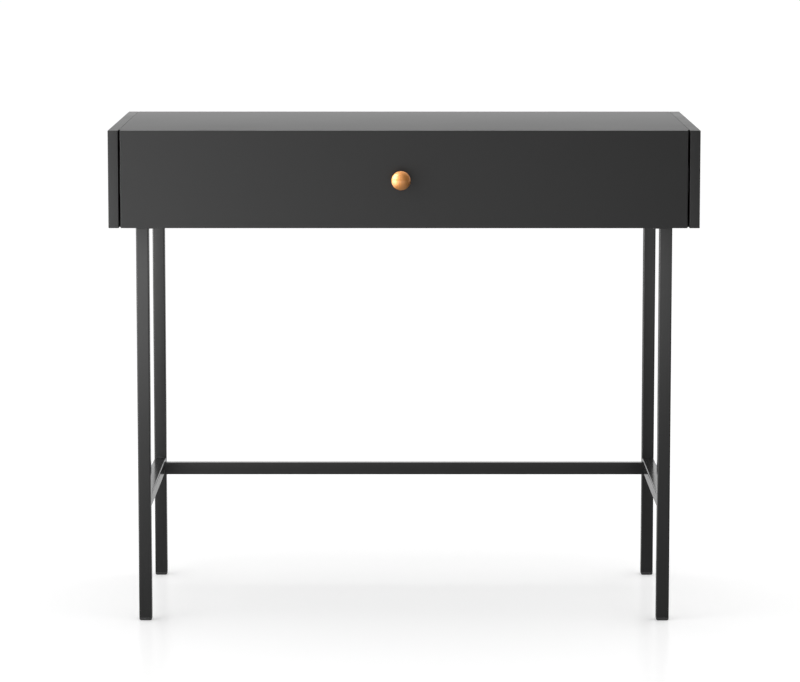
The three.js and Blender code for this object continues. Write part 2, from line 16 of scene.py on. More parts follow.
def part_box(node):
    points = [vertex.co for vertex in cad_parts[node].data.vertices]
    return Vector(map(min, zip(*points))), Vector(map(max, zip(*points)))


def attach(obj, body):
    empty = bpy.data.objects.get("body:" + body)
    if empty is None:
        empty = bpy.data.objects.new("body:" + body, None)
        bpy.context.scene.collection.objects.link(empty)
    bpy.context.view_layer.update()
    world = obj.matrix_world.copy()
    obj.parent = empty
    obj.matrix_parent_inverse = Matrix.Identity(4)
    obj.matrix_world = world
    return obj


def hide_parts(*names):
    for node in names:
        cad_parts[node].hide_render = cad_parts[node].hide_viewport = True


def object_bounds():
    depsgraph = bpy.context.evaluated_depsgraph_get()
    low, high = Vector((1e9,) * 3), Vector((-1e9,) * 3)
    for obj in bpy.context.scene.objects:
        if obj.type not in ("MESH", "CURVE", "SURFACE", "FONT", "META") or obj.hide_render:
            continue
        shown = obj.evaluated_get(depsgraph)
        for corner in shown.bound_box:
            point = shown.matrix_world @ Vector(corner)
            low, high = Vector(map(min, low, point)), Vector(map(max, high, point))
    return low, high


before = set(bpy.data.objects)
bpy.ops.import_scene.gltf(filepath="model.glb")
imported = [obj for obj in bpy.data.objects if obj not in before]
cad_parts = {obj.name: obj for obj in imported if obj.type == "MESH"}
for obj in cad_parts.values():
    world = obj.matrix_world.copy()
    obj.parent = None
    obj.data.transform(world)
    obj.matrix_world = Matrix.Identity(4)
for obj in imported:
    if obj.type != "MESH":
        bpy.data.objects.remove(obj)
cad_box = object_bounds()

bl_info = {
    "name": "Writing Desk",
    "version": (1, 0, 0),
    "blender": (4, 5, 0),
    "location": "View3D > Sidebar > Desk",
    "description": "Finishes, fine pieces and studio for a writing desk with one drawer",
    "category": "Object",
}

MM = 0.001

# The desk's sides, with the way outward in X, and its rows of legs, with the way inward in Y.
SIDES = {"left": -1, "right": 1}
ROWS = {"front": 1, "rear": -1}

# Sockets of a colour mix node, whose names alone are not unique.
MIX_A = 6
MIX_B = 7
MIX_RESULT = 2

# A face whose normal has more than this share across its board is one of the two broad faces.
SQUARE_ON = 0.9

# Sides of the turned pieces.
BEAD_SIDES = 14
BALL_SIDES = 24
SCREW_SIDES = 72
KNOB_SIDES = 96

# The soft boxes: place, and width and height, in metres.
LAMPS = {
    "top_lamp": ((0, 0.5, 3.2), (3.6, 2.4)),
    "left_lamp": ((-2.4, -1.6, 1.1), (1.6, 1.8)),
}

# The cards that only glossy surfaces see. Each has the place where its middle line starts, the
# direction in which that line runs, its levels across, as (X in metres, level), and its shares
# along, as (metres from the start, share of the level). The high card and the front card stand
# before the desk, for the drawer's front, the knob and the legs. The floor flag lies before it,
# for the legs' lower ends, and the rear flag behind it, for the side rails. The back card stands
# behind it, for the top.
UP = (0, 0, 1)
DOWN = (0, 0, -1)
BACKWARDS = (0, 1, 0)
CARDS = {
    "high_card": (
        (0, -1.7, 3.6), DOWN,
        [
            (-5, 9), (-1.6, 9), (-1.3, 5), (-1.1, 2.2), (-0.6, 0.9), (0, 0.8), (0.55, 0.35),
            (1.2, 0.12), (5, 0.05),
        ],
        [(0, 1), (2.2, 1), (2.6, 0.6)],
    ),
    "front_card": (
        (0, -1.7, 1), DOWN,
        [
            (-5, 10), (-1.6, 7.6), (-1.2, 2.8), (-0.5, 1.95), (0, 1.22), (0.52, 1.14), (0.85, 0.4),
            (5, 0.05),
        ],
        [
            (0, 0.27), (0.2, 0.3), (0.38, 0.44), (0.49, 0.9), (0.55, 1.38), (0.58, 1.38),
            (0.66, 1.31), (0.75, 1), (0.84, 0.7), (0.91, 0.5), (1, 0.38),
        ],
    ),
    "floor_flag": (
        (0, -1.7, 0.005), BACKWARDS,
        [
            (-5, 9), (-1.6, 12), (-1.1, 11), (-0.72, 6), (-0.58, 1.9), (0, 1.52), (0.55, 1.25),
            (0.8, 0.5), (5, 0.2),
        ],
        [(0, 0.38), (0.57, 0.32), (1.02, 0.27), (1.42, 0.22), (2, 0.2)],
    ),
    "rear_flag": (
        (0, 0.3, 0.005), BACKWARDS,
        [(-2, 1), (2, 1)],
        [(0, 0.45), (0.5, 0.68), (1.2, 0.68), (1.8, 0.33), (6.5, 0.25)],
    ),
    "back_card": (
        (0, 0.45, 0.8), UP,
        [(-3, 1), (3, 1)],
        [(0, 1.3), (0.06, 1.3), (0.14, 0.69), (0.8, 0.69), (1.2, 1)],
    ),
}


# ---------------------------------------------------------------- settings


def linear(hex_colour):
    """An sRGB hex colour as linear red, green and blue."""
    channels = [int(hex_colour[start : start + 2], 16) / 255 for start in (1, 3, 5)]
    return [c / 12.92 if c <= 0.04045 else ((c + 0.055) / 1.055) ** 2.4 for c in channels]


def length(name, description, millimetres):
    """A length that the user can change, with its default in millimetres."""
    return FloatProperty(
        name=name, description=description, unit="LENGTH", default=millimetres * MM
    )


def angle(name, description, degrees):
    """An angle that the user can change, with its default in degrees."""
    return FloatProperty(
        name=name, description=description, subtype="ANGLE", default=math.radians(degrees)
    )


def colour(name, description, hex_colour):
    """A colour that the user can change, with its default in sRGB hex."""
    return FloatVectorProperty(
        name=name, description=description, subtype="COLOR", size=3, min=0, max=1,
        default=linear(hex_colour),
    )


class DeskColours(bpy.types.PropertyGroup):
    """The colours of the desk's finishes."""

    laminate: colour("Laminate", "Face of the laminated boards", "#222222")
    edge_band: colour("Edge band", "Plastic band on the boards' edges", "#252525")
    hardboard: colour("Hardboard", "Lacquered back and drawer bottom", "#2b2b2b")
    powder: colour("Powder coat", "Coating on the steel underframe", "#222222")
    dip_coat: colour("Dip coat", "Black coat on the runners' channels", "#161617")
    zinc: colour("Zinc plate", "Plated steel of screws, bolts and plugs", "#b4b8bc")
    bearing: colour("Bearing steel", "Balls and ball cages of the runners", "#c9cacb")
    cast_zinc: colour("Cast zinc", "Cam locks in the panels", "#97999b")
    brass: colour("Brass", "Satin knob", "#da934e")
    plastic: colour("Plastic", "Foot inserts", "#1d1d1e")


class KnobSizes(bpy.types.PropertyGroup):
    """The knob's turned profile. Its diameter and length come from the frame."""

    head_thickness: length("Head", "Thickness of the broad head, dome included", 8.4)
    rim_rounding: length("Rim rounding", "Radius round the head's edge", 1.6)
    neck_diameter: length("Neck", "Diameter of the narrowest place", 11)
    neck_height: length("Neck height", "Height of the narrowest place", 10)
    foot_diameter: length("Foot", "Diameter of the foot on the drawer's front", 17)
    foot_height: length("Foot height", "Height of the foot", 2)


class ScrewSizes(bpy.types.PropertyGroup):
    """The screws, bolts and cam locks."""

    pan_diameter: length("Pan head", "Diameter of the pan heads under the mounting bars", 9)
    pan_height: length("Pan height", "Height of the pan heads", 2.5)
    pan_edge: length("Pan edge", "Height of a pan head's upright edge", 0.8)
    flush_diameter: length("Flush head", "Diameter of the runner screws' heads", 4.7)
    flush_height: length("Flush height", "Height of the runner screws' heads", 0.9)
    shank: length("Shank", "Diameter of the screws' shanks", 4)
    recess: length("Recess", "Width of the cross recess, tip to tip", 4.2)
    recess_depth: length("Recess depth", "Depth of the cross recess in a pan head", 1.5)
    bolt_head: length("Bolt head", "Height of the bolts' button heads", 3.3)
    bolt_shank: length("Bolt shank", "Diameter of the bolts' shanks", 6)
    socket: length("Socket", "Hexagon socket, corner to corner", 4.62)
    socket_depth: length("Socket depth", "Depth of the hexagon socket", 2)
    cam_recess: length("Cam recess", "Width of a cam lock's cross recess, tip to tip", 8)
    cam_recess_depth: length("Cam recess depth", "Depth of a cam lock's cross recess", 2.5)
    cam_chamfer: length("Cam chamfer", "Chamfer round a cam lock's face", 0.5)


class RunnerSizes(bpy.types.PropertyGroup):
    """The ball cages, and where the runners' screws are."""

    ball: length("Ball", "Diameter of a ball", 4)
    balls: IntProperty(name="Balls", description="Number of balls in a row", default=5)
    cage_sheet: length("Cage sheet", "Thickness of a cage", 0.6)
    cage_margin: length("Cage margin", "From a cage's end to its first ball", 10)
    first_hole: length("First hole", "From a runner's front end to its first screw", 35)
    hole_pitch: length("Hole pitch", "From screw to screw", 128)
    holes: IntProperty(name="Screws", description="Number of screws in a member", default=3)


class UnderframeSizes(bpy.types.PropertyGroup):
    """The weld beads, and where the mounting bars' screws are."""

    bead: length("Bead", "Radius of a weld bead", 1.1)
    bead_ripple: length("Ripple", "From drop to drop along a weld bead", 1.8)
    bead_inset: length("Bead inset", "From a tube's side to the end of its bead", 2)
    screw_to_leg: length("Screw to leg", "From a mounting bar's end screws to the legs", 45)


class StageSizes(bpy.types.PropertyGroup):
    """The studio: camera, lamps and floor."""

    camera_aside: length("Camera aside", "Right of the desk's middle", 0.5)
    camera_distance: length("Camera distance", "In front of the desk's middle", 5880.25)
    camera_height: length("Camera height", "Above the floor", 1181.93)
    camera_tilt: angle("Camera tilt", "Downward tilt", 7.355)
    camera_turn: angle("Camera turn", "Turn to the left", 0.0688)
    lens: FloatProperty(name="Lens", description="Focal length", unit="CAMERA", default=164.7)
    floor_size: length("Floor", "Side of the square floor", 80000)
    daylight: FloatProperty(name="Daylight", description="Level of the even light", default=0.75)
    floor_lift: FloatProperty(name="Lift", description="Added to the floor as seen", default=0.27)
    floor_sheen: FloatProperty(
        name="Sheen", description="Glossy share of the floor", subtype="FACTOR", min=0, max=1,
        default=0.1,
    )
    top_power: FloatProperty(name="Top lamp", description="Power", unit="POWER", default=14)
    left_power: FloatProperty(name="Left lamp", description="Power", unit="POWER", default=6)
    card_level: FloatProperty(name="Cards", description="Level of the cards", default=1.0)


SETTINGS = {
    "desk_colours": DeskColours,
    "desk_knob": KnobSizes,
    "desk_screws": ScrewSizes,
    "desk_runners": RunnerSizes,
    "desk_underframe": UnderframeSizes,
    "desk_stage": StageSizes,
}


# ---------------------------------------------------------------- materials

# Nearly all of a noise lies between these values.
NOISE_LOW = 0.3
NOISE_HIGH = 0.7


def per_metre(millimetres):
    """The scale of a pattern whose grains are that far apart."""
    return 1 / (millimetres * MM)


def add_node(tree, kind, inputs=None, **settings):
    """Adds a node with its settings, and its inputs, each a value or another node's output."""
    node = tree.nodes.new(kind)
    for name, value in settings.items():
        setattr(node, name, value)
    for name, value in (inputs or {}).items():
        if isinstance(value, bpy.types.NodeSocket):
            tree.links.new(value, node.inputs[name])
        else:
            node.inputs[name].default_value = value
    return node


def opaque(rgb):
    """A colour with full alpha."""
    return (*rgb, 1)


def start_material(name):
    """An empty material, its node tree and a place on the piece in metres."""
    material = bpy.data.materials.new(name)
    material.use_nodes = True
    tree = material.node_tree
    tree.nodes.clear()
    place = add_node(tree, "ShaderNodeTexCoord").outputs["Object"]
    return material, tree, place


def grained_material(name, rgb, tone, grain, coarser, clouds, roughness, spread, relief, inputs):
    """A material with an even colour, a fine raised grain and slow clouds of shade and gloss.

    tone is the share by which grain and clouds darken or lighten the colour. grain and clouds are
    real sizes in millimetres, and a grain too fine to show is drawn that many times coarser.
    Roughness varies by spread, and relief is the grain's height in millimetres.
    """
    material, tree, place = start_material(name)
    fine = add_node(
        tree, "ShaderNodeTexNoise",
        {"Vector": place, "Scale": per_metre(grain * coarser), "Detail": 2.0},
    ).outputs["Fac"]
    slow = add_node(
        tree, "ShaderNodeTexNoise", {"Vector": place, "Scale": per_metre(clouds), "Detail": 3.0}
    ).outputs["Fac"]
    both = add_node(tree, "ShaderNodeMath", {0: fine, 1: slow}, operation="MULTIPLY").outputs[0]
    shade = add_node(
        tree, "ShaderNodeMix",
        {
            0: both,
            MIX_A: opaque([c * (1 - tone) for c in rgb]),
            MIX_B: opaque([c * (1 + tone) for c in rgb]),
        },
        data_type="RGBA",
    ).outputs[MIX_RESULT]
    gloss = add_node(
        tree, "ShaderNodeMapRange",
        {
            "Value": slow, "From Min": NOISE_LOW, "From Max": NOISE_HIGH,
            "To Min": roughness - spread, "To Max": roughness + spread,
        },
    ).outputs["Result"]
    bump = add_node(
        tree, "ShaderNodeBump", {"Height": fine, "Strength": 0.6, "Distance": relief * MM}
    ).outputs["Normal"]
    surface = add_node(
        tree, "ShaderNodeBsdfPrincipled",
        {"Base Color": shade, "Roughness": gloss, "Normal": bump, **inputs},
    )
    add_node(tree, "ShaderNodeOutputMaterial", {"Surface": surface.outputs["BSDF"]})
    return material


def melamine_board(colours):
    """Melamine-faced chipboard, pressed against a pearl plate: an even matt grey whose sheen
    breaks up into fine grains. They are drawn three times as coarse, or they would not show."""
    return grained_material(
        "melamine_faced_board", colours.laminate, tone=0.06, grain=0.6, coarser=3, clouds=140,
        roughness=0.42, spread=0.006, relief=0.02, inputs={"Specular IOR Level": 0.42},
    )


def edge_band(colours):
    """Extruded ABS edge band, scraped and buffed: a little smoother than the board's face, with
    faint scraper marks. They are drawn five times as coarse, or they would not show."""
    return grained_material(
        "abs_edge_band", colours.edge_band, tone=0.04, grain=0.5, coarser=5, clouds=60,
        roughness=0.4, spread=0.02, relief=0.01, inputs={"Specular IOR Level": 0.44},
    )


def lacquered_hardboard(colours):
    """Pressed wood fibre under a thin roller lacquer: matt, with soft fibre mottling. The fibre
    bundles are drawn twice as coarse, or they would not show."""
    return grained_material(
        "lacquered_hardboard", colours.hardboard, tone=0.18, grain=1.5, coarser=2, clouds=25,
        roughness=0.55, spread=0.05, relief=0.04, inputs={"Specular IOR Level": 0.3},
    )


def powder_coat(colours):
    """Polyester powder baked on steel tube: satin, with the soft waves called orange peel, here
    at their real size."""
    return grained_material(
        "powder_coated_steel", colours.powder, tone=0.05, grain=3, coarser=1, clouds=80,
        roughness=0.2, spread=0.015, relief=0.006, inputs={"IOR": 1.52},
    )


def dip_coat(colours):
    """Roll-formed steel strip, dipped in thin black enamel: an oily satin black with faint flow
    marks, here at their real size."""
    return grained_material(
        "black_enamelled_strip", colours.dip_coat, tone=0.12, grain=2, coarser=1, clouds=30,
        roughness=0.36, spread=0.04, relief=0.008, inputs={"IOR": 1.5},
    )


def moulded_plastic(colours):
    """Injection-moulded polyethylene from an eroded mould: dull black with a fine even grain. It
    is drawn four times as coarse, or it would not show."""
    return grained_material(
        "moulded_polyethylene", colours.plastic, tone=0.1, grain=0.3, coarser=4, clouds=12,
        roughness=0.5, spread=0.04, relief=0.03, inputs={"IOR": 1.51},
    )


def zinc_plate(colours):
    """Cold-headed steel, bright zinc plated in a barrel: cloudy bluish metal with small knocks.
    They are drawn three times as coarse, or they would not show."""
    return grained_material(
        "zinc_plated_steel", colours.zinc, tone=0.1, grain=0.5, coarser=3, clouds=18,
        roughness=0.32, spread=0.07, relief=0.01, inputs={"Metallic": 1.0},
    )


def bearing_steel(colours):
    """Ground and polished chrome steel: almost a mirror, under a film of grease. Its polishing
    haze is drawn four times as coarse, or it would not show."""
    return grained_material(
        "chrome_bearing_steel", colours.bearing, tone=0.04, grain=0.25, coarser=4, clouds=6,
        roughness=0.14, spread=0.04, relief=0.002, inputs={"Metallic": 1.0},
    )


def cast_zinc(colours):
    """Die-cast zinc, tumbled: a dull grey skin with small pits and rubbed high spots. The pits
    are drawn three times as coarse, or they would not show."""
    return grained_material(
        "die_cast_zinc", colours.cast_zinc, tone=0.16, grain=0.4, coarser=3, clouds=7,
        roughness=0.45, spread=0.08, relief=0.03, inputs={"Metallic": 1.0},
    )


def satin_brass(colours):
    """Brass, turned, brushed and lacquered: warm metal with a soft sheen under a clear coat. The
    brush marks are drawn four times as coarse, or they would not show."""
    return grained_material(
        "satin_lacquered_brass", colours.brass, tone=0.05, grain=0.25, coarser=4, clouds=10,
        roughness=0.48, spread=0.03, relief=0.003,
        inputs={"Metallic": 1.0, "Coat Weight": 1.0, "Coat Roughness": 0.2, "Coat IOR": 1.62},
    )


# ---------------------------------------------------------------- meshes


def smooth_by_angle():
    """A modifier's node group: joins split corners, and shades all but sharp edges smooth."""
    name = "Smooth by angle"
    if name in bpy.data.node_groups:
        return bpy.data.node_groups[name]
    sharp_angle = math.radians(35)
    same_point = 0.002 * MM
    tree = bpy.data.node_groups.new(name, "GeometryNodeTree")
    tree.interface.new_socket("Geometry", in_out="INPUT", socket_type="NodeSocketGeometry")
    tree.interface.new_socket("Geometry", in_out="OUTPUT", socket_type="NodeSocketGeometry")
    start = add_node(tree, "NodeGroupInput")
    joined = add_node(
        tree, "GeometryNodeMergeByDistance", {"Geometry": start.outputs[0], "Distance": same_point}
    )
    rounded = add_node(
        tree, "GeometryNodeSetShadeSmooth",
        {"Geometry": joined.outputs[0], "Shade Smooth": True}, domain="FACE",
    )
    bend = add_node(tree, "GeometryNodeInputMeshEdgeAngle")
    blunt = add_node(
        tree, "FunctionNodeCompare", {0: bend.outputs[0], 1: sharp_angle}, operation="LESS_THAN"
    )
    edges = add_node(
        tree, "GeometryNodeSetShadeSmooth",
        {"Geometry": rounded.outputs[0], "Shade Smooth": blunt.outputs[0]}, domain="EDGE",
    )
    add_node(tree, "NodeGroupOutput", {0: edges.outputs[0]})
    return tree


def smooth(piece):
    """Shades a piece's bends smooth and leaves its broad faces flat."""
    piece.modifiers.new("Smooth", "NODES").node_group = smooth_by_angle()
    weighted = piece.modifiers.new("Flat faces", "WEIGHTED_NORMAL")
    weighted.keep_sharp = True


def paint(node_name, material):
    """Gives a node of the frame its finish."""
    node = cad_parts[node_name]
    node.data.materials.clear()
    node.data.materials.append(material)
    return node


def add_piece(name, mesh, material, body):
    """Makes a piece of a finished mesh, which rides on a body of the frame."""
    data = bpy.data.meshes.new(name)
    mesh.to_mesh(data)
    mesh.free()
    data.materials.append(material)
    piece = bpy.data.objects.new(name, data)
    bpy.context.scene.collection.objects.link(piece)
    for face in data.polygons:
        face.use_smooth = True
    smooth(piece)
    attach(piece, body)
    return piece


def arc(centre, radius, start, end, steps):
    """Points on an arc about (r, h), from one angle to another in degrees, both ends included."""
    points = []
    for step in range(steps + 1):
        at = math.radians(start + (end - start) * step / steps)
        points.append((centre[0] + radius * math.cos(at), centre[1] + radius * math.sin(at)))
    return points


def curve(start, control, end, steps):
    """Points on a quadratic curve, both ends included."""
    points = []
    for step in range(steps + 1):
        t = step / steps
        points.append(tuple(
            (1 - t) ** 2 * a + 2 * t * (1 - t) * b + t ** 2 * c
            for a, b, c in zip(start, control, end)
        ))
    return points


def turn(mesh, profile, place, sides, shapes=None):
    """Adds a turned solid. The profile runs from the axis to the axis as (radius, height).

    place turns +Z, the axis, and moves the solid. shapes gives, for a step of the profile, the
    factor on the radius at an angle, for a socket or recess that is not round.
    """
    shapes = shapes or {}
    rings = []
    for step, (radius, height) in enumerate(profile):
        if radius == 0:
            rings.append([mesh.verts.new(place @ Vector((0, 0, height)))])
            continue
        shape = shapes.get(step, lambda _: 1)
        ring = []
        for side in range(sides):
            at = 2 * math.pi * side / sides
            reach = radius * shape(at)
            point = Vector((reach * math.cos(at), reach * math.sin(at), height))
            ring.append(mesh.verts.new(place @ point))
        rings.append(ring)
    for lower, upper in zip(rings, rings[1:]):
        for side in range(sides):
            corners = [
                lower[side % len(lower)], lower[(side + 1) % len(lower)],
                upper[(side + 1) % len(upper)], upper[side % len(upper)],
            ]
            distinct = list(dict.fromkeys(corners))
            if len(distinct) > 2:
                mesh.faces.new(distinct)
    bmesh.ops.recalc_face_normals(mesh, faces=mesh.faces)


def facing(direction, origin):
    """The placement that turns +Z to a direction and moves it to an origin."""
    turned = Vector(direction).to_track_quat("Z", "Y").to_matrix().to_4x4()
    return Matrix.Translation(origin) @ turned


def cross(at):
    """The reach of a cross recess at an angle, as a share of its reach at the tips."""
    half_bar = 0.24
    nearly_none = 1e-6
    long, short = sorted((abs(math.cos(at)), abs(math.sin(at))), reverse=True)
    return min(1 / long, half_bar / max(short, nearly_none))


def hexagon(at):
    """The reach of a hexagon at an angle, as a share of its reach at the corners."""
    half = math.pi / 6
    return math.cos(half) / math.cos(at % (2 * half) - half)


def turn_recessed(mesh, profile, place, reach, depth, shape):
    """Adds a turned solid whose top has a recess of that shape, reach and depth."""
    floor_reach = reach * 0.85
    top = profile[-1][1]
    first = len(profile)
    ends = [(reach, top), (floor_reach, top - depth), (0, top - depth)]
    turn(mesh, profile + ends, place, SCREW_SIDES, shapes={first: shape, first + 1: shape})


def pan_screw(mesh, sizes, place, shank_length):
    """Adds a pan-headed screw with a cross recess. It is driven along -Z, from a seat at 0."""
    head = sizes.pan_diameter / 2
    crown = head * 0.62
    shank = sizes.shank / 2
    tip = shank * 0.7
    tall = sizes.pan_height
    profile = [(0, -shank_length), (tip, -shank_length), (shank, -shank_length + shank / 2)]
    profile += [(shank, 0), (head, 0)]
    profile += curve((head, sizes.pan_edge), (head, tall), (crown, tall), steps=6)
    turn_recessed(mesh, profile, place, sizes.recess / 2, sizes.recess_depth, cross)


def ball(mesh, radius, centre):
    """Adds a ball."""
    between_poles = arc((0, 0), radius, -90, 90, steps=BALL_SIDES // 2)[1:-1]
    profile = [(0, -radius), *between_poles, (0, radius)]
    turn(mesh, profile, Matrix.Translation(centre), BALL_SIDES)


def bead(mesh, start, end, sizes):
    """Adds a weld bead from a start to an end: a rope of overlapping drops, tapered at its ends."""
    run = end - start
    steps_per_drop = 4
    steps = round(run.length / sizes.bead_ripple) * steps_per_drop
    waist = 0.86
    blunt_end = 0.45
    growth = 0.2
    profile = [(0, 0)]
    for step in range(1, steps):
        ripple = waist + (1 - waist) * abs(math.sin(math.pi * step / steps_per_drop))
        taper = min(1, blunt_end + growth * min(step, steps - step))
        profile.append((sizes.bead * ripple * taper, run.length * step / steps))
    profile.append((0, run.length))
    turn(mesh, profile, facing(run, start), BEAD_SIDES)


def prism(mesh, outline, low, high):
    """Adds a solid whose outline of (x, z) points is drawn along Y."""
    ends = [[mesh.verts.new((x, y, z)) for x, z in outline] for y in (low, high)]
    mesh.faces.new(ends[0])
    mesh.faces.new(ends[1])
    for index in range(len(outline)):
        ahead = (index + 1) % len(outline)
        mesh.faces.new([ends[0][index], ends[0][ahead], ends[1][ahead], ends[1][index]])
    bmesh.ops.recalc_face_normals(mesh, faces=mesh.faces)


# ---------------------------------------------------------------- operators


class DESK_OT_boards(bpy.types.Operator):
    """Finish the laminated boards of the case and the drawer"""

    bl_idname = "desk.boards"
    bl_label = "Boards"

    def execute(self, context):
        colours = context.scene.desk_colours
        face = melamine_board(colours)
        edge = edge_band(colours)
        boards = [
            "top_panel", "bottom_panel", "left_side_panel", "right_side_panel",
            "drawer_front", "drawer_left_side", "drawer_right_side", "drawer_back",
        ]
        for name in boards:
            board = paint(name, face)
            board.data.materials.append(edge)
            low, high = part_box(name)
            size = high - low
            thin = min(range(3), key=lambda axis: size[axis])
            for polygon in board.data.polygons:
                is_broad = abs(polygon.normal[thin]) > SQUARE_ON
                polygon.material_index = 0 if is_broad else 1
            smooth(board)
        return {"FINISHED"}


class DESK_OT_hardboards(bpy.types.Operator):
    """Finish the hardboard back and the drawer's bottom"""

    bl_idname = "desk.hardboards"
    bl_label = "Hardboards"

    def execute(self, context):
        lacquer = lacquered_hardboard(context.scene.desk_colours)
        for name in ("back_panel", "drawer_bottom"):
            paint(name, lacquer)
        return {"FINISHED"}


class DESK_OT_underframe(bpy.types.Operator):
    """Finish the steel tubes and mounting bars, and weld them"""

    bl_idname = "desk.underframe"
    bl_label = "Underframe"

    def execute(self, context):
        coat = powder_coat(context.scene.desk_colours)
        names = ["cross_bar"]
        for side in SIDES:
            names += [f"front_{side}_leg", f"rear_{side}_leg"]
            names += [f"{side}_side_rail", f"{side}_mounting_bar"]
        for name in names:
            smooth(paint(name, coat))
        for side, sign in SIDES.items():
            mesh = bmesh.new()
            self.weld(mesh, side, sign, context.scene.desk_underframe)
            add_piece(f"{side}_weld_beads", mesh, coat, "desk")
        return {"FINISHED"}

    def weld(self, mesh, side, sign, sizes):
        """Beads above and below each end of the side rail, and in the corners under the bar."""
        rail_low, rail_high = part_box(f"{side}_side_rail")
        bar_low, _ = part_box(f"{side}_mounting_bar")
        inset = sizes.bead_inset
        across = (rail_low.x + inset, rail_high.x - inset)
        for row, inward in ROWS.items():
            leg_low, leg_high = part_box(f"{row}_{side}_leg")
            face = leg_high.y if inward > 0 else leg_low.y
            rail_end = rail_low.y if inward > 0 else rail_high.y
            seam = (face + rail_end) / 2
            under_bar = (leg_high.z + bar_low.z) / 2
            for y, z in ((seam, rail_low.z), (seam, rail_high.z), (face, under_bar)):
                bead(mesh, Vector((across[0], y, z)), Vector((across[1], y, z)), sizes)
            inner = leg_low.x if sign > 0 else leg_high.x
            bead(
                mesh, Vector((inner, leg_low.y + inset, under_bar)),
                Vector((inner, leg_high.y - inset, under_bar)), sizes,
            )


class DESK_OT_feet(bpy.types.Operator):
    """Finish the four foot inserts"""

    bl_idname = "desk.feet"
    bl_label = "Feet"

    def execute(self, context):
        plastic = moulded_plastic(context.scene.desk_colours)
        for side in SIDES:
            for row in ROWS:
                smooth(paint(f"{row}_{side}_foot", plastic))
        return {"FINISHED"}


class DESK_OT_runners(bpy.types.Operator):
    """Finish the runners' channels, and make their ball cages"""

    bl_idname = "desk.runners"
    bl_label = "Runners"

    def execute(self, context):
        sizes = context.scene.desk_runners
        enamel = dip_coat(context.scene.desk_colours)
        steel = bearing_steel(context.scene.desk_colours)
        for side, sign in SIDES.items():
            for member in ("cabinet", "middle", "drawer"):
                smooth(paint(f"{side}_{member}_member", enamel))
            for cage in ("outer", "inner"):
                node = f"{side}_{cage}_ball_cage"
                mesh = bmesh.new()
                self.fill_cage(mesh, sign, *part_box(node), sizes)
                made = add_piece(
                    f"{side}_{cage}_cage_and_balls", mesh, steel, f"{side}_{cage}_cage",
                )
                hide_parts(node)
        return {"FINISHED"}

    def fill_cage(self, mesh, sign, low, high, sizes):
        """A channel of thin strip with rounded bends, and a row of balls in each flange."""
        radius = sizes.ball / 2
        sheet = sizes.cage_sheet
        web = high.x if sign > 0 else low.x
        balls_x = (low.x if sign > 0 else high.x) + sign * radius
        lip = balls_x - sign * (radius - sheet)
        middle = (low.z + high.z) / 2
        row = (high.z - low.z) / 2 - radius
        top = row + sheet / 2
        under = row - sheet / 2
        outer = [(lip, top), *self.bend(web, sign, top, 2 * sheet)]
        inner = [(lip, under), *self.bend(web - sign * sheet, sign, under, sheet)]
        prism(mesh, self.band(outer, inner, middle), low.y, high.y)
        steps = sizes.balls - 1
        first = low.y + sizes.cage_margin
        pitch = (high.y - low.y - 2 * sizes.cage_margin) / steps
        for index in range(sizes.balls):
            for z in (middle - row, middle + row):
                ball(mesh, radius, Vector((balls_x, first + index * pitch, z)))

    def bend(self, web, sign, top, radius):
        """The rounded corner between a flange at a height and the web."""
        points = arc((0, top - radius), radius, 90, 0, steps=4)
        return [(web - sign * (radius - r), z) for r, z in points]

    def band(self, outer, inner, middle):
        """The outline between an outer and an inner upper half, each mirrored below the middle."""
        outside = outer + [(x, -z) for x, z in outer[::-1]]
        inside = inner + [(x, -z) for x, z in inner[::-1]]
        return [(x, middle + z) for x, z in outside + inside[::-1]]


class DESK_OT_screws(bpy.types.Operator):
    """Make the small screws"""

    bl_idname = "desk.screws"
    bl_label = "Screws"

    def execute(self, context):
        plate = zinc_plate(context.scene.desk_colours)
        sizes = context.scene.desk_screws
        low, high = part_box("knob_screw")
        seat = Vector(((low.x + high.x) / 2, high.y - sizes.pan_height, (low.z + high.z) / 2))
        mesh = bmesh.new()
        pan_screw(mesh, sizes, facing((0, 1, 0), seat), seat.y - low.y)
        made = add_piece("knob_pan_screw", mesh, plate, "drawer")
        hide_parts("knob_screw")

        underframe = context.scene.desk_underframe
        for side, sign in SIDES.items():
            mesh = bmesh.new()
            low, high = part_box(f"{side}_mounting_bar")
            leg_low, leg_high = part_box(f"front_{side}_leg")
            x = (leg_low.x + leg_high.x) / 2
            front = leg_high.y + underframe.screw_to_leg
            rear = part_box(f"rear_{side}_leg")[0].y - underframe.screw_to_leg
            for y in (front, (front + rear) / 2, rear):
                pan_screw(mesh, sizes, facing((0, 0, -1), Vector((x, y, low.z))), high.z - low.z)
            add_piece(f"{side}_bar_screws", mesh, plate, "desk")
            self.screw_runner(side, "cabinet", "desk", -sign, plate, context.scene)
            self.screw_runner(side, "drawer", "drawer", sign, plate, context.scene)
        return {"FINISHED"}

    def screw_runner(self, side, member, body, out, plate, scene):
        """Flush screws in the holes of a member's web, whose heads face that way out in X."""
        sizes = scene.desk_screws
        runners = scene.desk_runners
        low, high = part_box(f"{side}_{member}_member")
        seat = low.x if out > 0 else high.x
        mesh = bmesh.new()
        head = sizes.flush_diameter / 2
        crown = head * 0.7
        tall = sizes.flush_height
        edge = tall * 0.6
        reach = sizes.recess * 0.4
        depth = tall * 0.6
        profile = [(0, 0), (head, 0)]
        profile += curve((head, edge), (head, tall), (crown, tall), steps=4)
        for index in range(runners.holes):
            y = low.y + runners.first_hole + index * runners.hole_pitch
            place = facing((out, 0, 0), Vector((seat, y, (low.z + high.z) / 2)))
            turn_recessed(mesh, profile, place, reach, depth, cross)
        add_piece(f"{side}_{member}_member_screws", mesh, plate, body)


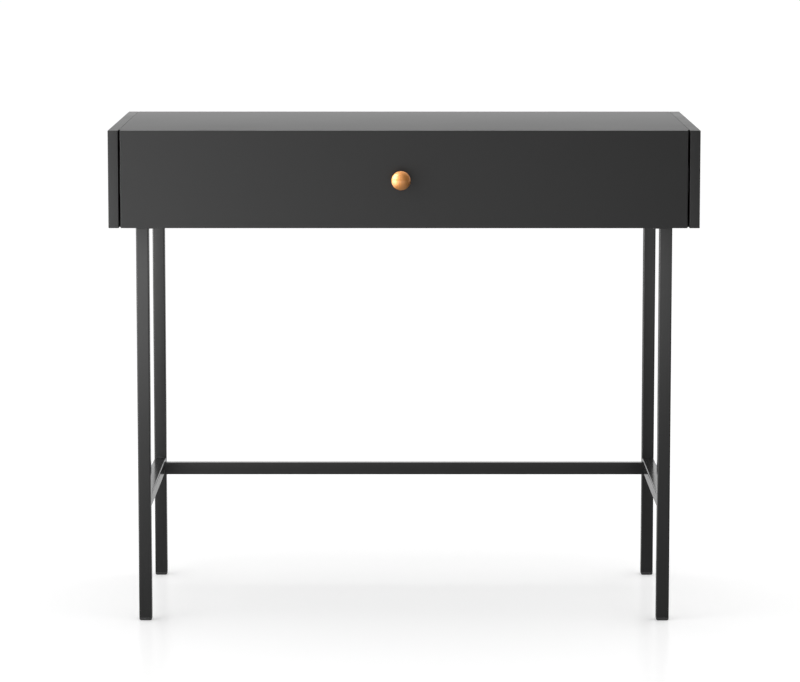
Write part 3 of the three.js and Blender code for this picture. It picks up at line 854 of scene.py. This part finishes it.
class DESK_OT_bolts(bpy.types.Operator):
    """Make the bolts of the cross bar, and finish their threaded plugs"""

    bl_idname = "desk.bolts"
    bl_label = "Bolts"

    def execute(self, context):
        plate = zinc_plate(context.scene.desk_colours)
        sizes = context.scene.desk_screws
        for side, sign in SIDES.items():
            smooth(paint(f"{side}_threaded_plug", plate))
            node = f"{side}_cross_bar_bolt"
            low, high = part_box(node)
            end = high.x if sign > 0 else low.x
            seat_x = end - sign * sizes.bolt_head
            seat = Vector((seat_x, (low.y + high.y) / 2, (low.z + high.z) / 2))
            profile = self.outline(sizes, (high.z - low.z) / 2, high.x - low.x)
            mesh = bmesh.new()
            place = facing((sign, 0, 0), seat)
            turn_recessed(mesh, profile, place, sizes.socket / 2, sizes.socket_depth, hexagon)
            made = add_piece(f"{side}_socket_bolt", mesh, plate, "desk")
            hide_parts(node)
        return {"FINISHED"}

    def outline(self, sizes, head, bolt_length):
        """The profile of a button-headed bolt, from its tip to the flat round its socket."""
        tall = sizes.bolt_head
        tip = tall - bolt_length
        shank = sizes.bolt_shank / 2
        tip_radius = shank * 0.8
        chamfer_end = tip + shank * 0.3
        edge = tall * 0.08
        shoulder = (head * 0.98, tall * 0.95)
        flat = head * 0.5
        profile = [(0, tip), (tip_radius, tip), (shank, chamfer_end), (shank, 0), (head, 0)]
        return profile + curve((head, edge), shoulder, (flat, tall), steps=10)


class DESK_OT_cams(bpy.types.Operator):
    """Make the cam locks"""

    bl_idname = "desk.cams"
    bl_label = "Cam locks"

    def execute(self, context):
        cast = cast_zinc(context.scene.desk_colours)
        sizes = context.scene.desk_screws
        reach = sizes.cam_recess / 2
        depth = sizes.cam_recess_depth
        for panel, up in (("top", -1), ("bottom", 1)):
            for row in ROWS:
                for side in SIDES:
                    node = f"{panel}_cam_{row}_{side}"
                    low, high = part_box(node)
                    back_z = low.z if up > 0 else high.z
                    back = Vector(((low.x + high.x) / 2, (low.y + high.y) / 2, back_z))
                    profile = self.outline(sizes, (high.x - low.x) / 2, high.z - low.z)
                    mesh = bmesh.new()
                    turn_recessed(mesh, profile, facing((0, 0, up), back), reach, depth, cross)
                    made = add_piece(f"{panel}_lock_{row}_{side}", mesh, cast, "desk")
                    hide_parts(node)
        return {"FINISHED"}

    def outline(self, sizes, radius, tall):
        """The profile of a cam lock, with a groove round its side, up to its chamfered face."""
        chamfer = sizes.cam_chamfer
        groove = radius * 0.94
        groove_starts, floor_starts = tall * 0.55, tall * 0.6
        floor_ends, groove_ends = tall * 0.72, tall * 0.77
        return [
            (0, 0), (radius, 0), (radius, groove_starts), (groove, floor_starts),
            (groove, floor_ends), (radius, groove_ends), (radius, tall - chamfer),
            (radius - chamfer, tall),
        ]


class DESK_OT_knob(bpy.types.Operator):
    """Turn the knob with a fine profile"""

    bl_idname = "desk.knob"
    bl_label = "Knob"

    def execute(self, context):
        sizes = context.scene.desk_knob
        low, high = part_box("knob")
        rim_radius = (high.x - low.x) / 2
        tall = high.y - low.y
        seat = Vector(((low.x + high.x) / 2, high.y, (low.z + high.z) / 2))
        under_head = tall - sizes.head_thickness
        rounding = sizes.rim_rounding
        rim = (rim_radius - rounding, under_head + rounding)
        halfway_round = rounding * math.sqrt(0.5)
        dome_foot = (rim[0] + halfway_round, rim[1] + halfway_round)
        dome_height = tall - dome_foot[1]
        dome_radius = (dome_foot[0] ** 2 + dome_height ** 2) / (2 * dome_height)
        dome_start = math.degrees(math.acos(dome_foot[0] / dome_radius))
        neck = sizes.neck_diameter / 2
        foot = sizes.foot_diameter / 2
        foot_top = (foot, sizes.foot_height)
        narrowest = (neck, sizes.neck_height)
        profile = [(0, 0), (foot, 0)]
        profile += curve(foot_top, (neck, sizes.foot_height), narrowest, steps=14)
        profile += curve(narrowest, (neck, under_head), (rim[0], under_head), steps=14)[1:]
        profile += arc(rim, rounding, -90, 45, steps=12)[1:]
        profile += arc((0, tall - dome_radius), dome_radius, dome_start, 90, steps=20)[1:-1]
        profile += [(0, tall)]
        mesh = bmesh.new()
        turn(mesh, profile, facing((0, -1, 0), seat), KNOB_SIDES)
        knob = add_piece(
            "turned_knob", mesh, satin_brass(context.scene.desk_colours), "drawer"
        )
        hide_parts("knob")
        return {"FINISHED"}


class DESK_OT_studio(bpy.types.Operator):
    """Set up the floor, the lamps, the daylight and the camera"""

    bl_idname = "desk.studio"
    bl_label = "Studio"

    def execute(self, context):
        sizes = context.scene.desk_stage
        self.lay_floor(sizes)
        self.set_daylight(context.scene, sizes)
        self.hang_lamp("top_lamp", sizes.top_power)
        self.hang_lamp("left_lamp", sizes.left_power)
        for name, (start, away, across, along) in CARDS.items():
            self.hold_card(name, Vector(start), Vector(away), across, along, sizes.card_level)
        self.place_camera(context.scene, sizes)
        context.scene.view_settings.view_transform = "Standard"
        return {"FINISHED"}

    def seen(self, tree):
        """An output that is 1 where the camera, metal or glass looks, and 0 for light's own way."""
        path = add_node(tree, "ShaderNodeLightPath").outputs
        seen = path["Is Camera Ray"]
        for ray in ("Is Glossy Ray", "Is Transmission Ray"):
            seen = add_node(
                tree, "ShaderNodeMath", {0: seen, 1: path[ray]}, operation="MAXIMUM"
            ).outputs[0]
        return seen

    def lay_floor(self, sizes):
        """A matt white floor. It is seen lifted a little, so that nothing but shadows shows on it,
        and from below it is clear."""
        half = sizes.floor_size / 2
        mesh = bmesh.new()
        corners = [(-half, -half, 0), (half, -half, 0), (half, half, 0), (-half, half, 0)]
        mesh.faces.new([mesh.verts.new(corner) for corner in corners])
        data = bpy.data.meshes.new("floor")
        mesh.to_mesh(data)
        mesh.free()
        floor = bpy.data.objects.new("floor", data)
        bpy.context.scene.collection.objects.link(floor)

        material, tree, _ = start_material("matt_white_floor")
        white_paint = linear("#e6e6e6")[0]
        seen = self.seen(tree)
        tone = add_node(
            tree, "ShaderNodeMapRange", {"Value": seen, "To Min": white_paint, "To Max": 1.0}
        )
        matt = add_node(tree, "ShaderNodeBsdfDiffuse", {"Color": tone.outputs["Result"]})
        lift = add_node(
            tree, "ShaderNodeMath", {0: seen, 1: sizes.floor_lift}, operation="MULTIPLY"
        )
        glow = add_node(
            tree, "ShaderNodeEmission", {"Color": (1, 1, 1, 1), "Strength": lift.outputs[0]}
        )
        sheen = add_node(tree, "ShaderNodeBsdfGlossy", {"Roughness": 0.2})
        surface = add_node(
            tree, "ShaderNodeMixShader",
            {0: sizes.floor_sheen, 1: matt.outputs[0], 2: sheen.outputs[0]},
        )
        both = add_node(tree, "ShaderNodeAddShader", {0: surface.outputs[0], 1: glow.outputs[0]})
        below = add_node(tree, "ShaderNodeNewGeometry").outputs["Backfacing"]
        clear = add_node(tree, "ShaderNodeBsdfTransparent")
        one_sided = add_node(
            tree, "ShaderNodeMixShader", {0: below, 1: both.outputs[0], 2: clear.outputs[0]}
        )
        add_node(tree, "ShaderNodeOutputMaterial", {"Surface": one_sided.outputs[0]})
        data.materials.append(material)

    def set_daylight(self, scene, sizes):
        """Even light from all round, which the camera, metal and glass see as plain white."""
        world = bpy.data.worlds.new("daylight")
        world.use_nodes = True
        tree = world.node_tree
        tree.nodes.clear()
        level = add_node(
            tree, "ShaderNodeMapRange",
            {"Value": self.seen(tree), "To Min": sizes.daylight, "To Max": 1.0},
        )
        light = add_node(
            tree, "ShaderNodeBackground", {"Color": (1, 1, 1, 1), "Strength": level.outputs[0]}
        )
        add_node(tree, "ShaderNodeOutputWorld", {"Surface": light.outputs[0]})
        scene.world = world

    def hang_lamp(self, name, power):
        """A soft box, turned to the upper part of the desk."""
        place, size = LAMPS[name]
        target = Vector((0, 0, cad_box[1].z * 0.6))
        data = bpy.data.lights.new(name, "AREA")
        data.energy = power
        data.shape = "RECTANGLE"
        data.size, data.size_y = size
        lamp = bpy.data.objects.new(name, data)
        lamp.location = place
        lamp.rotation_mode = "QUATERNION"
        lamp.rotation_quaternion = (target - Vector(place)).to_track_quat("-Z", "Y")
        bpy.context.scene.collection.objects.link(lamp)

    def hold_card(self, name, start, away, across, along, level):
        """A card that only glossy surfaces see, from one side, to shape their sheen.

        Its middle line runs from its start in the direction away. across gives (X, level) from the
        left to the right, and along gives (distance from the start, share of that level).
        """
        mesh = bmesh.new()
        rows = []
        levels = []
        for distance, share in along:
            middle = start + away * distance
            places = [middle + Vector((x, 0, 0)) for x, _ in across]
            rows.append([mesh.verts.new(place) for place in places])
            levels += [level_here * share * level for _, level_here in across]
        for lower, upper in zip(rows, rows[1:]):
            for index in range(len(across) - 1):
                mesh.faces.new([lower[index], lower[index + 1], upper[index + 1], upper[index]])
        data = bpy.data.meshes.new(name)
        mesh.to_mesh(data)
        mesh.free()
        data.attributes.new("level", "FLOAT", "POINT").data.foreach_set("value", levels)

        material, tree, _ = start_material(name)
        strength = add_node(tree, "ShaderNodeAttribute", attribute_name="level").outputs["Fac"]
        glow = add_node(tree, "ShaderNodeEmission", {"Color": (1, 1, 1, 1), "Strength": strength})
        behind = add_node(tree, "ShaderNodeNewGeometry").outputs["Backfacing"]
        clear = add_node(tree, "ShaderNodeBsdfTransparent")
        one_sided = add_node(
            tree, "ShaderNodeMixShader", {0: behind, 1: glow.outputs[0], 2: clear.outputs[0]}
        )
        add_node(tree, "ShaderNodeOutputMaterial", {"Surface": one_sided.outputs[0]})
        data.materials.append(material)
        card = bpy.data.objects.new(name, data)
        card.visible_camera = False
        card.visible_diffuse = False
        card.visible_shadow = False
        card.visible_transmission = False
        bpy.context.scene.collection.objects.link(card)

    def place_camera(self, scene, sizes):
        """A long lens in front of the desk and a little above it."""
        data = bpy.data.cameras.new("camera")
        data.lens = sizes.lens
        data.clip_end = 100
        camera = bpy.data.objects.new("camera", data)
        camera.location = (sizes.camera_aside, -sizes.camera_distance, sizes.camera_height)
        camera.rotation_euler = (math.pi / 2 - sizes.camera_tilt, 0, sizes.camera_turn)
        scene.collection.objects.link(camera)
        scene.camera = camera


OPERATORS = [
    DESK_OT_boards, DESK_OT_hardboards, DESK_OT_underframe, DESK_OT_feet, DESK_OT_runners,
    DESK_OT_screws, DESK_OT_bolts, DESK_OT_cams, DESK_OT_knob, DESK_OT_studio,
]


class DESK_PT_sidebar(bpy.types.Panel):
    """The desk's pieces, in the order in which they are made"""

    bl_idname = "DESK_PT_sidebar"
    bl_label = "Writing desk"
    bl_space_type = "VIEW_3D"
    bl_region_type = "UI"
    bl_category = "Desk"

    def draw(self, context):
        for operator in OPERATORS:
            self.layout.operator(operator.bl_idname)
        for name in SETTINGS:
            group = getattr(context.scene, name)
            column = self.layout.box().column()
            for setting in group.__annotations__:
                column.prop(group, setting)


def register():
    """Registers the settings, operators and panel."""
    for cls in [*SETTINGS.values(), *OPERATORS, DESK_PT_sidebar]:
        bpy.utils.register_class(cls)
    for name, cls in SETTINGS.items():
        setattr(bpy.types.Scene, name, PointerProperty(type=cls))


def unregister():
    """Takes them all away again."""
    for name in SETTINGS:
        delattr(bpy.types.Scene, name)
    for cls in [DESK_PT_sidebar, *reversed(OPERATORS), *reversed(SETTINGS.values())]:
        bpy.utils.unregister_class(cls)


def main():
    """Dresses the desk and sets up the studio."""
    register()
    bpy.ops.desk.boards()
    bpy.ops.desk.hardboards()
    bpy.ops.desk.underframe()
    bpy.ops.desk.feet()
    bpy.ops.desk.runners()
    bpy.ops.desk.screws()
    bpy.ops.desk.bolts()
    bpy.ops.desk.cams()
    bpy.ops.desk.knob()
    bpy.ops.desk.studio()


if __name__ == "__main__":
    main()
